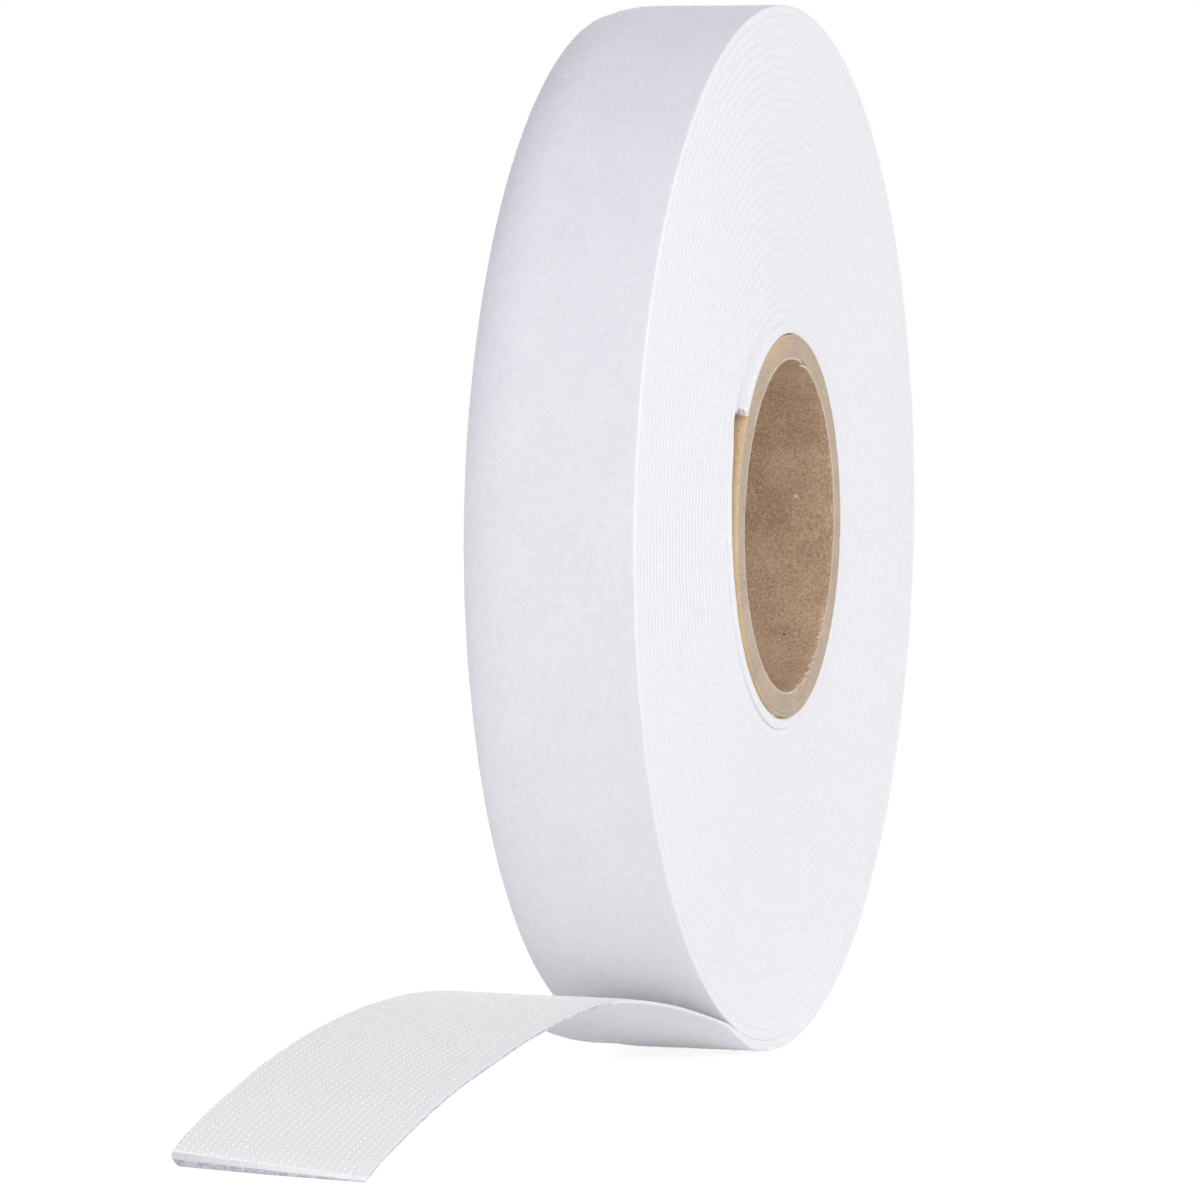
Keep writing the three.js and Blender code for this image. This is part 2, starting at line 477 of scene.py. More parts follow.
class Graph:
    """A short way to write a material's nodes."""

    def __init__(self, name):
        self.material = bpy.data.materials.new(name)
        self.material.use_nodes = True
        self.nodes = self.material.node_tree.nodes
        self.links = self.material.node_tree.links
        self.shader = self.nodes["Principled BSDF"]

    def add(self, kind, inputs=None, **settings):
        node = self.nodes.new(kind)
        for key, value in settings.items():
            setattr(node, key, value)
        for key, value in (inputs or {}).items():
            self.put(node.inputs[key], value)
        return node

    def put(self, socket, value):
        if isinstance(value, bpy.types.NodeSocket):
            self.links.new(value, socket)
        else:
            socket.default_value = value

    def place(self, scale):
        place = self.add("ShaderNodeTexCoord").outputs["Object"]
        return self.add("ShaderNodeMapping", {"Vector": place, "Scale": (scale,) * 3}).outputs["Vector"]

    def noise(self, vector, scale=1.0, detail=3.0, roughness=0.55):
        inputs = {"Vector": vector, "Scale": scale, "Detail": detail, "Roughness": roughness}
        return self.add("ShaderNodeTexNoise", inputs).outputs["Fac"]

    def tape_noise(self, along, across, *settings):
        """Noise on the tape, scaled along it and across it per millimetre."""
        uv = self.add("ShaderNodeUVMap", uv_map="tape").outputs["UV"]
        scale = (along * PER_MM, across * PER_MM, 1)
        mapped = self.add("ShaderNodeMapping", {"Vector": uv, "Scale": scale})
        return self.noise(mapped.outputs["Vector"], *settings)

    def ramp(self, share, *stops):
        node = self.add("ShaderNodeValToRGB", {"Fac": share})
        elements = node.color_ramp.elements
        while len(elements) < len(stops):
            elements.new(0.5)
        for element, (position, colour) in zip(elements, stops):
            element.position = position
            element.color = (*colour, 1)
        return node.outputs["Color"]

    def mix(self, share, first, second):
        """Two colours. The node's colour sockets share their names with others, so they go by number."""
        inputs = {"Factor": share, 6: first, 7: second}
        return self.add("ShaderNodeMix", inputs, data_type="RGBA").outputs[2]

    def math(self, operation, first, second=0.0):
        return self.add("ShaderNodeMath", {0: first, 1: second}, operation=operation).outputs[0]

    def weighted(self, *terms):
        """A sum of values, each times its weight."""
        parts = [self.math("MULTIPLY", value, weight) for value, weight in terms]
        total = parts[0]
        for part in parts[1:]:
            total = self.math("ADD", total, part)
        return total

    def level(self, share, low, high):
        """A number between two others."""
        return self.ramp(share, (0.3, (low,) * 3), (0.7, (high,) * 3))

    def flecks(self, vector, scale, rarity, size):
        """Small spots in a few of the cells of a Voronoi pattern."""
        cells = self.add("ShaderNodeTexVoronoi", {"Vector": vector, "Scale": scale})
        chosen = self.math("GREATER_THAN", cells.outputs["Color"], rarity)
        spot = self.ramp(cells.outputs["Distance"], (0.6 * size, (0.8,) * 3), (size, (0.0,) * 3))
        return self.math("MULTIPLY", chosen, spot)

    def near(self, middle, size, fade=0.05):
        """1 at a place, fading to 0 at a ragged distance from it."""
        place = self.add("ShaderNodeTexCoord").outputs["Object"]
        away = self.add("ShaderNodeVectorMath", {0: place, 1: middle}, operation="DISTANCE").outputs["Value"]
        ragged = self.noise(self.place(0.25 / size), 6.0)
        share = self.weighted((away, 1 / size), (ragged, 0.6))
        return self.ramp(share, (1 - fade, (1.0,) * 3), (1.0, (0.0,) * 3))

    def bump(self, height, strength, distance):
        inputs = {"Height": height, "Strength": strength, "Distance": distance}
        self.put(self.shader.inputs["Normal"], self.add("ShaderNodeBump", inputs).outputs["Normal"])

    def finish(self, colour, roughness, **constants):
        self.put(self.shader.inputs["Base Color"], colour)
        self.put(self.shader.inputs["Roughness"], roughness)
        for name, value in constants.items():
            self.shader.inputs[name.replace("_", " ")].default_value = value
        return self.material


def loop_material():
    """Brushed loops: a soft white felt."""
    graph = Graph("brushed_loops")
    felt = graph.tape_noise(1, 1, 2.6, 4.0, 0.65)
    tufts = graph.tape_noise(0.8, 0.8, 1.0, 3.0, 0.6)
    patches = graph.tape_noise(0.12, 0.12)
    tone = graph.weighted((felt, 0.5), (tufts, 0.3), (patches, 0.2))
    colour = graph.ramp(tone, (0.36, (0.795, 0.786, 0.820)), (0.5, (0.852, 0.841, 0.872)),
                        (0.64, (0.900, 0.889, 0.918)))
    graph.bump(graph.weighted((felt, 1.0), (tufts, 0.6)), 0.35, 0.12 * MM)
    return graph.finish(colour, graph.level(felt, 0.82, 0.98),
                        Specular_IOR_Level=0.25, Sheen_Weight=0.25, Sheen_Roughness=0.6)


def edge_material():
    """Cut edge of the tape: short threads along it, and a little fluff."""
    graph = Graph("tape_edge")
    threads = graph.tape_noise(0.9, 5.0, 1.0, 4.0, 0.6)
    fluff = graph.noise(graph.place(PER_MM), 1.1, 4.0, 0.65)
    tone = graph.weighted((threads, 0.4), (fluff, 0.6))
    colour = graph.ramp(tone, (0.36, (0.828, 0.818, 0.832)), (0.62, (0.922, 0.911, 0.920)))
    graph.bump(graph.math("ADD", threads, fluff), 0.4, 0.1 * MM)
    return graph.finish(colour, graph.level(threads, 0.75, 0.95),
                        Specular_IOR_Level=0.3, Sheen_Weight=0.15, Sheen_Roughness=0.6)


def film_material():
    """Hook side: a thin moulded film, a little smoother than the loops."""
    graph = Graph("hook_film")
    fine = graph.tape_noise(1, 1, 1.6)
    flow = graph.tape_noise(0.05, 0.7)
    tone = graph.weighted((fine, 0.5), (flow, 0.5))
    colour = graph.ramp(tone, (0.35, (0.935, 0.926, 0.900)), (0.65, (0.955, 0.947, 0.922)))
    graph.bump(fine, 0.2, 0.06 * MM)
    return graph.finish(colour, graph.level(flow, 0.5, 0.68), Specular_IOR_Level=0.4)


def fibre_material(name, dark, light):
    """Single fibres and hooks, each a little different from the next."""
    graph = Graph(name)
    tone = graph.noise(graph.place(PER_MM), 0.8, 2.0)
    colour = graph.ramp(tone, (0.35, dark), (0.65, light))
    return graph.finish(colour, graph.level(tone, 0.6, 0.8), Specular_IOR_Level=0.3)


# Where the core's plies are warmer
WARM_PLACE = (CORE_HALF_LENGTH, -9 * MM, AXIS_HEIGHT + 1.2 * CORE_OUTSIDE)
WARM_REACH = 17 * MM
WARM_FADE = 0.35


def paper_material(name, dark, middle, light, fleck, bump, specks=(), warm=None):
    """Recycled paper board: mottled pulp with a few light and dark flecks. A speck is a place, a size and
    a colour, and warm is the colour of the plies near the top of the core's outside."""
    graph = Graph(name)
    place = graph.place(PER_MM)
    pulp = graph.noise(place, 2.3, 5.0, 0.7)
    grain = graph.noise(place, 5.0, 2.0, 0.6)
    clouds = graph.noise(place, 0.15, 2.0)
    tone = graph.weighted((pulp, 0.5), (grain, 0.32), (clouds, 0.18))
    colour = graph.ramp(tone, (0.39, dark), (0.5, middle), (0.61, light))
    colour = graph.mix(graph.flecks(place, 0.7, 0.8, 0.17), colour, (*fleck, 1))
    dark_fleck = [0.4 * level for level in dark]
    colour = graph.mix(graph.flecks(place, 0.8, 0.92, 0.16), colour, (*dark_fleck, 1))
    for middle_of_speck, size, speck_colour in specks:
        colour = graph.mix(graph.near(middle_of_speck, size), colour, (*speck_colour, 1))
    if warm is not None:
        colour = graph.mix(graph.near(WARM_PLACE, WARM_REACH, WARM_FADE), colour, (*warm, 1))
    graph.bump(graph.math("ADD", grain, pulp), bump, 0.12 * MM)
    return graph.finish(colour, graph.level(pulp, 0.82, 0.95), Specular_IOR_Level=0.25)


loops_look = loop_material()
edge_look = edge_material()
film_look = film_material()
loop_fibre_look = fibre_material("loop_fibre", (0.88, 0.88, 0.91), (0.93, 0.93, 0.95))
hook_look = fibre_material("moulded_hook", (0.90, 0.892, 0.872), (0.93, 0.922, 0.902))
thread_look = fibre_material("cut_thread", (0.92, 0.92, 0.93), (0.95, 0.95, 0.955))
# The loop ply's cut: white fibres drawn grey-blue as painted shade, with a little fibre texture
shaded_cut_look = fibre_material("loop_ply_cut_painted_shade", (0.50, 0.51, 0.55), (0.74, 0.75, 0.79))
tape_looks = [loops_look, edge_look, film_look, shaded_cut_look]
# Place, size and colour
liner_specks = (((7.69 * MM, 24.66 * MM, 82.99 * MM), 0.45 * MM, (0.62, 0.66, 0.72)),
                ((7.87 * MM, 20.71 * MM, 92.87 * MM), 0.30 * MM, (0.62, 0.26, 0.20)),
                ((7.77 * MM, 18.36 * MM, 61.90 * MM), 0.32 * MM, (0.12, 0.09, 0.07)))
liner_look = paper_material("kraft_liner", (0.308, 0.206, 0.132), (0.510, 0.354, 0.232),
                            (0.700, 0.515, 0.360), (0.80, 0.74, 0.64), 0.5, liner_specks)
liner_edge_look = paper_material("kraft_liner_edge", (0.56, 0.44, 0.33), (0.66, 0.53, 0.405),
                                 (0.72, 0.60, 0.47), (0.80, 0.72, 0.60), 0.4)
wall_look = paper_material("chipboard", (0.455, 0.352, 0.264), (0.560, 0.442, 0.340), (0.645, 0.522, 0.412),
                           (0.68, 0.58, 0.48), 0.6, warm=(0.66, 0.49, 0.315))
outer_look = paper_material("tan_ply", (0.560, 0.385, 0.215), (0.665, 0.480, 0.285), (0.740, 0.560, 0.360),
                            (0.80, 0.68, 0.50), 0.4)
strip_look = fibre_material("adhesive_strip", (0.66, 0.62, 0.50), (0.74, 0.70, 0.58))


# Pieces

def ring_piece(name, inside, outside, steps, materials, displace):
    """A ply of the core: a ring about the axis, then displaced. A second material is for the cut ends."""
    profile = np.array(ring_profile(inside, outside, *steps))
    angle = np.arange(CORE_SEGMENTS) * TURN / CORE_SEGMENTS
    radius, x = (np.tile(column, (CORE_SEGMENTS, 1)) for column in profile.T)
    at_end = np.abs(profile[:, 1]) > CORE_HALF_LENGTH - 0.1 * MM
    cut = at_end & np.roll(at_end, -1)
    displace(angle[:, None], radius, x)
    vertices = on_roll(x, angle[:, None], radius).reshape(-1, 3)
    faces = grid_faces(CORE_SEGMENTS, len(profile), closed_rows=True)
    face_materials = np.tile(np.where(cut, len(materials) - 1, 0), CORE_SEGMENTS)
    return add_piece(name, vertices, faces, materials, face_materials)


def ring_profile(inside, outside, bevel, end_steps, length_steps):
    """A ring's section as (radius, x), counter-clockwise from the bore's far end, with bevelled ends."""
    half = CORE_HALF_LENGTH
    wall = np.linspace(-half + bevel, half - bevel, length_steps + 1)
    face = np.linspace(inside + bevel, outside - bevel, end_steps + 1)
    points = [(inside, x) for x in wall]
    points += [(radius, half) for radius in face]
    points += [(outside, x) for x in wall[::-1]]
    points += [(radius, -half) for radius in face[::-1]]
    return points


def round_noise(angle, waves, amplitude):
    """A random line round the core, from a few sine waves."""
    total = np.zeros_like(angle)
    for wave in waves:
        total = total + rng.uniform(0.4, 1) * np.sin(wave * angle + rng.uniform(0, TURN))
    return amplitude * total / len(waves)


# Each ply's bevel, steps across its end and steps along it
LINER_STEPS = (0.06 * MM, 2, 28)
WALL_STEPS = (0.03 * MM, WALL_PLIES * 4, 2)
OUTER_STEPS = (0.06 * MM, 2, 24)
# Waves round the core and their height
LINER_END_NOISE = ((3, 17, 41, 67, 95), 0.08 * MM)
LINER_BORE_NOISE = ((2, 3, 5), 0.06 * MM)
OUTER_END_NOISE = ((5, 23, 47, 71), 0.07 * MM)
# Wear on the core's right end: a torn place and a nick on the liner, and a split and a flake on the wall
TORN = (326 * DEGREE, 24 * DEGREE)
NICK = (195.5 * DEGREE, 2 * DEGREE)
NICK_DEPTH = 0.7 * MM
SPLIT = (340 * DEGREE, 6 * DEGREE)
SPLIT_INSET = 1.1 * MM
SPLIT_SLOPE = 4.5 * MM
SPLIT_HALF_WIDTH = 0.09 * MM
SPLIT_DEPTH = 1.2 * MM
FLAKE = (16 * DEGREE, 1.6 * DEGREE)
FLAKE_ACROSS = (27.6 * MM, 0.25 * MM)
FLAKE_HEIGHT = 0.4 * MM
PLY_GROOVE = 0.09 * MM
# The outer ply is a strip, wound with a narrow open seam
WRAP_LEAD = 2.2 * CORE_OUTSIDE
WRAP_SEAM = 0.004
WRAP_SEAM_DEPTH = 0.08 * MM


def away_from(values, middle_and_spread):
    """Distance from a middle, in spreads."""
    middle, spread = middle_and_spread
    return (values - middle) / spread


def make_core():
    """The core's three plies."""
    wall_inside = LINER_OUTSIDE + GLUE_LINE
    wall_outside = CORE_OUTSIDE - OUTER_PLY - GLUE_LINE
    ply = (wall_outside - wall_inside) / WALL_PLIES

    def rough_liner(angle, radius, x):
        at_end = np.abs(x) > CORE_HALF_LENGTH - 0.2 * MM
        x += np.where(at_end, round_noise(angle, *LINER_END_NOISE), 0)
        torn = np.exp(-away_from(angle, TORN) ** 2)
        notches = np.clip(rng.normal(-0.1, 0.5, angle.shape), 0, 1.2) * MM
        nick = np.exp(-away_from(angle, NICK) ** 2) * NICK_DEPTH
        x -= np.where(at_end & (x > 0), torn * notches + nick, 0)
        radius += np.where(at_end & (x > 0), torn * rng.normal(0, 0.08, angle.shape) * MM, 0)
        radius += round_noise(angle, *LINER_BORE_NOISE)

    def rough_wall(angle, radius, x):
        at_end = np.abs(np.abs(x) - CORE_HALF_LENGTH) < 1e-6
        front = at_end & (x > 0)
        x += np.where(at_end, np.sign(x) * rng.normal(0, 0.03 * MM, x.shape), 0)
        plies = (radius - wall_inside) / ply
        groove = np.abs(plies - np.round(plies)) < 0.12
        inner = (radius > wall_inside + 0.3 * ply) & (radius < wall_outside - 0.3 * ply)
        x -= np.where(at_end & groove & inner, np.sign(x) * PLY_GROOVE, 0)
        split_radius = wall_inside + SPLIT_INSET + (angle - SPLIT[0]) * SPLIT_SLOPE
        split = np.exp(-away_from(angle, SPLIT) ** 4)
        x -= np.where(front & (np.abs(radius - split_radius) < SPLIT_HALF_WIDTH), split * SPLIT_DEPTH, 0)
        flake = np.exp(-away_from(angle, FLAKE) ** 2 - away_from(radius, FLAKE_ACROSS) ** 2)
        x += np.where(front, flake * FLAKE_HEIGHT, 0)

    def rough_outer(angle, radius, x):
        at_end = np.abs(x) > CORE_HALF_LENGTH - 0.1 * MM
        x += np.where(at_end, round_noise(angle, *OUTER_END_NOISE), 0)
        round_strip = (angle / TURN + x / WRAP_LEAD) % 1
        outside = radius > CORE_OUTSIDE - 0.1 * MM
        radius -= np.where(outside & (np.abs(round_strip - 0.5) < WRAP_SEAM), WRAP_SEAM_DEPTH, 0)

    liner = ring_piece("core_liner_tube", BORE_RADIUS, LINER_OUTSIDE, LINER_STEPS,
                       [liner_look, liner_edge_look], rough_liner)
    wall = ring_piece("core_wall_plies", wall_inside, wall_outside, WALL_STEPS, [wall_look], rough_wall)
    outer = ring_piece("core_outer_wrap", CORE_OUTSIDE - OUTER_PLY, CORE_OUTSIDE, OUTER_STEPS,
                       [outer_look, wall_look], rough_outer)
    for piece, node in ((liner, "core_liner"), (wall, "core_wall"), (outer, "core_outer_ply")):
        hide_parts(node)
        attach(piece, "roll")


# From and to, measured from the tape's inner end
STARTER_ANGLES = (1 * DEGREE, 31 * DEGREE)
STARTER_STATIONS = 40


def make_starter():
    """The adhesive strip under the tape's first few centimetres."""
    angle = START_ANGLE + np.linspace(*STARTER_ANGLES, STARTER_STATIONS)
    inside = CORE_OUTSIDE + 0.01 * MM
    outside = CORE_OUTSIDE + STARTER_THICKNESS - 0.02 * MM
    half = STARTER_HALF_WIDTH
    vertices = on_roll([-half, half, half, -half], angle[:, None], [inside, inside, outside, outside])
    last = (STARTER_STATIONS - 1) * 4
    faces = grid_faces(STARTER_STATIONS, 4)[:, ::-1].tolist()
    faces += [[3, 2, 1, 0], [last, last + 1, last + 2, last + 3]]
    strip = add_piece("starter_tape", vertices.reshape(-1, 3), faces, [strip_look])
    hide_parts("starter_strip")
    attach(strip, "roll")


# Points across the loop side
WOUND_COLUMNS = 3
FREE_COLUMNS = 14


def make_wound_tape():
    """All turns, up to the seam at the back. The last one is uncovered from where the free end leaves."""
    covered = wound_path(START_ANGLE, SEAM - TURN, COVERED_STATIONS)
    path = joined(covered, wound_path(SEAM - TURN, SEAM, OUTER_STATIONS))
    angle, length = path.heading, path.length
    outermost = smooth((angle - LEAVE_ANGLE + TURN) / UNCOVER_ANGLE)
    off_seam = smooth((length[-1] - length) / SEAM_FADE)
    next_turn = radius_at(angle + TURN) - radius_at(angle)
    far = next_turn - TURN_GAP + wander(length, *PILE_WANDER) * outermost * off_seam
    left_round = eased(outermost, COVERED_ROUND, LEFT_ROUND)
    right_round = eased(outermost, COVERED_ROUND, RIGHT_ROUND)
    shift = wander(angle, *TURN_WANDER) + wander(length, *TAPE_WANDER)
    shift = axial_shift(angle) + shift * off_seam
    edges = [wander(length, *WOUND_EDGE_WANDER) * off_seam for _ in range(2)]
    tape = tape_piece("wound_tape", path, 0 * far, far, WOUND_HOOK_ROUND, left_round, right_round,
                      WOUND_COLUMNS, shift, edges, 0 * far)
    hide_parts("winding_hook_ply", "winding_loop_ply")
    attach(tape, "roll")
    return tape, length[-1]


def make_free_tape(path, wrap_length):
    """The last quarter turn and the free end, which is thinner by the hooks that stand on it."""
    length = path.length
    bare = HOOK_HEIGHT * smooth((length - wrap_length) / HOOKS_FADE + 0.5)
    off_seam = smooth(length / SEAM_FADE)
    far = TAPE_THICKNESS + wander(length, *PILE_WANDER) * off_seam
    share = tail_share(path, wrap_length)
    left_round = eased(1 - smooth(share / ROUND_FADE), FREE_LEFT_ROUND, LEFT_ROUND)
    edges = [wander(length, *FREE_EDGE_WANDER) * off_seam for _ in range(2)]
    tape = tape_piece("free_tape", path, bare, far, FREE_HOOK_ROUND, left_round, RIGHT_ROUND, FREE_COLUMNS,
                      0 * length, edges, share)
    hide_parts("tail_hook_ply", "tail_loop_ply")
    blend_off_roll(tape)
    return tape, length[-1]


def blend_off_roll(piece):
    """Bakes the piece's placement into its mesh."""
    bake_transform(piece)


LOOPS_PER_AREA = 0.85 / MM ** 2
STRAYS_PER_AREA = 0.12 / MM ** 2
PILE_END_INSET = 0.4 * MM
PILE_EDGE_INSET = 0.35 * MM
ROOT_DEPTH = 0.04 * MM
# A loop's side view, in shares of its span and height
LOOP_ALONG = np.array([-0.5, -0.3, 0.3, 0.5])
LOOP_UP = np.array([0, 0.85, 1.0, 0])
STRAY_RINGS = 4
FIBRE_SIDES = 3


def pile_roots(path, share, per_area):
    """Random places on the brushed side, with random directions along it and the direction out of it."""
    length = path.length[-1]
    count = int(per_area * length * TAPE_WIDTH)
    at = rng.uniform(PILE_END_INSET, length - PILE_END_INSET, count)
    x = rng.uniform(-1, 1, count) * (TAPE_WIDTH / 2 - PILE_EDGE_INSET)
    edge_drop = np.clip((LEFT_ROUND[0] - TAPE_WIDTH / 2 - x) / LEFT_ROUND[0], 0, 1)
    depth = TAPE_THICKNESS - ROOT_DEPTH - LEFT_ROUND[1] * edge_drop ** 2
    depth = depth - thinned(np.interp(at, path.length, share), x)
    root, ahead, away = points_on(path, at, x, depth)
    lie = rng.uniform(0, TURN, count)
    along = ahead * np.cos(lie)[:, None] + np.array([1.0, 0, 0]) * np.sin(lie)[:, None]
    return root, along, away


def make_loops(name, path, share):
    """The pile of the brushed side: low loops that lie in all directions, and thinner fibres standing up."""
    root, along, away = pile_roots(path, share, LOOPS_PER_AREA)
    count = len(root)
    span = rng.uniform(0.25, 0.6, count) * MM
    height = rng.uniform(0.05, 0.11, count) * MM
    paths = (root[:, None] + along[:, None] * (span[:, None] * LOOP_ALONG)[..., None]
             + away[:, None] * (height[:, None] * LOOP_UP)[..., None])
    radii = np.broadcast_to(rng.uniform(0.014, 0.024, (count, 1)) * MM, (count, len(LOOP_UP)))
    loop_vertices, loop_faces = tubes(paths, radii, np.cross(along, away), FIBRE_SIDES)

    root, along, away = pile_roots(path, share, STRAYS_PER_AREA)
    count = len(root)
    reach = rng.uniform(0.2, 0.55, (count, 1, 1)) * MM
    steps = np.linspace(0, 1, STRAY_RINGS)[:, None]
    paths = root[:, None] + reach * (along[:, None] * steps + away[:, None] * 0.75 * np.sin(steps * 2.2))
    radii = np.broadcast_to(np.linspace(0.012, 0.005, STRAY_RINGS) * MM, (count, STRAY_RINGS))
    stray_vertices, stray_faces = tubes(paths, radii, np.cross(along, away), FIBRE_SIDES)

    vertices = np.concatenate([loop_vertices, stray_vertices])
    vertices[:, 2] = np.maximum(vertices[:, 2], 0)
    faces = loop_faces + [[len(loop_vertices) + corner for corner in face] for face in stray_faces]
    piece = add_piece(name, vertices, faces, [loop_fibre_look], smooth_faces=False)
    return piece


HOOK_COLUMN = 0.905 * MM
HOOK_ROW = 1.455 * MM
SELVAGE = 1.5 * MM
LEFT_INSET = 0.3 * MM
FIRST_HOOK = 1 * MM
TIP_INSET = 0.2 * MM
HOOK_SIDES = 5
# A hook's side view from its foot to its tip: along the tape, up from its top, and half its thickness
HOOK_ALONG = np.array([-0.17, -0.16, -0.06, 0.12, 0.25, 0.30]) * MM
HOOK_UP = np.array([-0.08, -0.03, 0.0, 0.0, -0.04, -0.08]) * MM
HOOK_RADII = np.array([0.14, 0.18, 0.19, 0.18, 0.14, 0.06]) * MM


def make_hooks(path):
    """Low moulded hooks on the free end: columns along the tape, each second one half a row on and turned
    round."""
    length = path.length[-1]
    columns = np.arange(-TAPE_WIDTH / 2 + LEFT_INSET, TAPE_WIDTH / 2 - SELVAGE, HOOK_COLUMN)
    at, x, turned = [], [], []
    for index, column in enumerate(columns):
        rows = np.arange(FIRST_HOOK + HOOK_ROW * (index % 2) / 2, length - TIP_INSET, HOOK_ROW)
        at.append(rows)
        x.append(np.full(len(rows), column))
        turned.append(np.full(len(rows), 1 if index % 2 else -1))
    at, x, turned = (np.concatenate(part) for part in (at, x, turned))
    count = len(at)
    at = at + rng.normal(0, 0.015, count) * MM
    x = x + rng.normal(0, 0.012, count) * MM
    root, ahead, away = points_on(path, at, x, HOOK_HEIGHT + 0.05 * MM)
    size = rng.uniform(0.92, 1.06, (count, 1))
    paths = (root[:, None] + ahead[:, None] * (turned[:, None] * HOOK_ALONG * size)[..., None]
             - away[:, None] * (HOOK_UP * size)[..., None])
    radii = np.broadcast_to(HOOK_RADII, (count, len(HOOK_RADII)))
    side = np.broadcast_to(np.array([1.0, 0, 0]), (count, 3))
    vertices, faces = tubes(paths, radii, side, HOOK_SIDES)
    hooks = add_piece("tail_hooks", vertices, faces, [hook_look])
    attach(hooks, "tail")
    return hooks


THREAD_RINGS = 4
THREAD_TAPER = 0.45


def make_threads(name, roots, directions, lengths, radii, bend, body):
    """Loose threads of a cut edge, each bent a little at random. Their radii are a range in millimetres."""
    count = len(roots)
    root_radii = rng.uniform(*radii, count) * MM
    directions = unit(directions)
    steps = np.linspace(0, 1, THREAD_RINGS)
    bent = rng.normal(0, bend, (count, 3))
    paths = roots[:, None] + lengths[:, None, None] * (
        directions[:, None] * steps[:, None] + bent[:, None] * (steps ** 2)[:, None])
    ring_radii = root_radii[:, None] * np.linspace(1, THREAD_TAPER, THREAD_RINGS)
    side = np.cross(directions, rng.normal(0, 1, (count, 3)))
    vertices, faces = tubes(paths, ring_radii, side, FIBRE_SIDES)
    vertices[:, 2] = np.maximum(vertices[:, 2], 0)
    piece = add_piece(name, vertices, faces, [thread_look], smooth_faces=False)
    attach(piece, body)
    return piece


# Tufts by their distance from the right edge
TUFTS = (0.15 * MM, 0.8 * MM, 1.5 * MM)
THREADS_PER_TUFT = 22
# Short ends along the inner end: how many near the corner, how far that reaches in mm, and how many beyond
CORNER_FRINGE = 180
CORNER_REACH = 2.2
OUTER_FRINGE = 160


def make_frayed_start():
    """The inner end's cut edge: short ends all along it, and three tufts at the corner beside the core's
    end."""
    tuft = np.repeat(TUFTS, THREADS_PER_TUFT)
    corner = rng.uniform(0, CORNER_REACH, CORNER_FRINGE)
    beyond = rng.uniform(CORNER_REACH, TAPE_WIDTH / MM, OUTER_FRINGE)
    fringe = np.concatenate([corner, beyond]) * MM
    inset = np.concatenate([tuft + rng.normal(0, 0.08, len(tuft)) * MM, fringe])
    in_tuft = np.arange(len(inset)) < len(tuft)
    count = len(inset)
    x = TAPE_WIDTH / 2 - np.clip(inset, 0.03 * MM, TAPE_WIDTH) + axial_shift(START_ANGLE)
    depth = np.where(in_tuft, rng.uniform(0.15, 1.45, count), rng.uniform(0.7, 1.45, count)) * MM
    angle = np.full(count, START_ANGLE)
    roots = on_roll(x, angle, FIRST_RADIUS + depth)
    back = np.concatenate([rng.normal(0, 0.08, (count, 1)), -forward(angle)], axis=1)
    lengths = np.where(in_tuft, rng.uniform(0.6, 1.0, count), rng.uniform(0.25, 0.5, count)) * MM
    return make_threads("start_threads", roots, back, lengths, (0.08, 0.12), 0.12, "roll")


TAIL_THREADS = 260


def make_tail_threads(path):
    """Fibres out of the loop ply at the free end's cut edge."""
    count = TAIL_THREADS
    x = rng.uniform(-1, 1, count) * (TAPE_WIDTH / 2 - 0.3 * MM)
    depth = rng.uniform(0.5, 0.9, count) * (TAPE_THICKNESS - thinned(1, x))
    roots, ahead, _ = points_on(path, path.length[-1] - 0.05 * MM, x, depth)
    directions = ahead + rng.normal(0, 0.25, (count, 3))
    lengths = rng.uniform(0.15, 0.6, count) * MM
    return make_threads("tail_end_threads", roots, directions, lengths, (0.02, 0.045), 0.45, "tail")


EDGE_FIBRES = 9000


def make_edge_fibres():
    """Short fibres lying on the tape's edges, which make up both sides of the roll."""
    count = EDGE_FIBRES
    angle = START_ANGLE + np.sqrt(rng.uniform(0.12, 1, count)) * (SEAM - START_ANGLE)
    side = np.where(rng.uniform(0, 1, count) < 0.5, -1.0, 1.0)
    depth = rng.uniform(0.1, 0.9, count) * TAPE_THICKNESS
    roots = on_roll(side * TAPE_WIDTH / 2, angle, radius_at(angle) + depth)
    lie = rng.normal(0, 0.5, count)
    flat = forward(angle) * np.cos(lie)[:, None] + outward(angle) * np.sin(lie)[:, None]
    directions = np.concatenate([(side * rng.uniform(0.05, 0.3, count))[:, None], flat], axis=1)
    lengths = rng.uniform(0.25, 0.7, count) * MM
    return make_threads("edge_fibres", roots, directions, lengths, (0.018, 0.03), 0.2, "roll")


CORE_FUZZ = 700
CORE_FUZZ_ANGLES = (180 * DEGREE, 385 * DEGREE)


def make_core_fuzz():
    """Short fibres of the first turn's edge, lying against the end of the core."""
    count = CORE_FUZZ
    angle = rng.uniform(*CORE_FUZZ_ANGLES, count)
    depth = rng.uniform(0, 0.5, count) * MM
    x = TAPE_WIDTH / 2 + axial_shift(angle) - 0.1 * MM
    roots = on_roll(x, angle, radius_at(angle) + depth)
    inward = np.concatenate([rng.uniform(0.5, 1.4, (count, 1)), -0.35 * outward(angle)], axis=1)
    directions = inward + rng.normal(0, 0.35, (count, 3))
    lengths = rng.uniform(0.2, 0.5, count) * MM
    return make_threads("core_edge_fuzz", roots, directions, lengths, (0.03, 0.06), 0.45, "roll")


# Camera, floor and light

CAMERA_AZIMUTH = 17.1 * DEGREE
CAMERA_ELEVATION = 1.79 * DEGREE
CAMERA_ROLL = 0.59 * DEGREE
CAMERA_DISTANCE = 1.014
CAMERA_RIGHT = 15.57 * MM
CAMERA_UP = 11.40 * MM
CAMERA_LENS = 201.4
SENSOR = 36.0


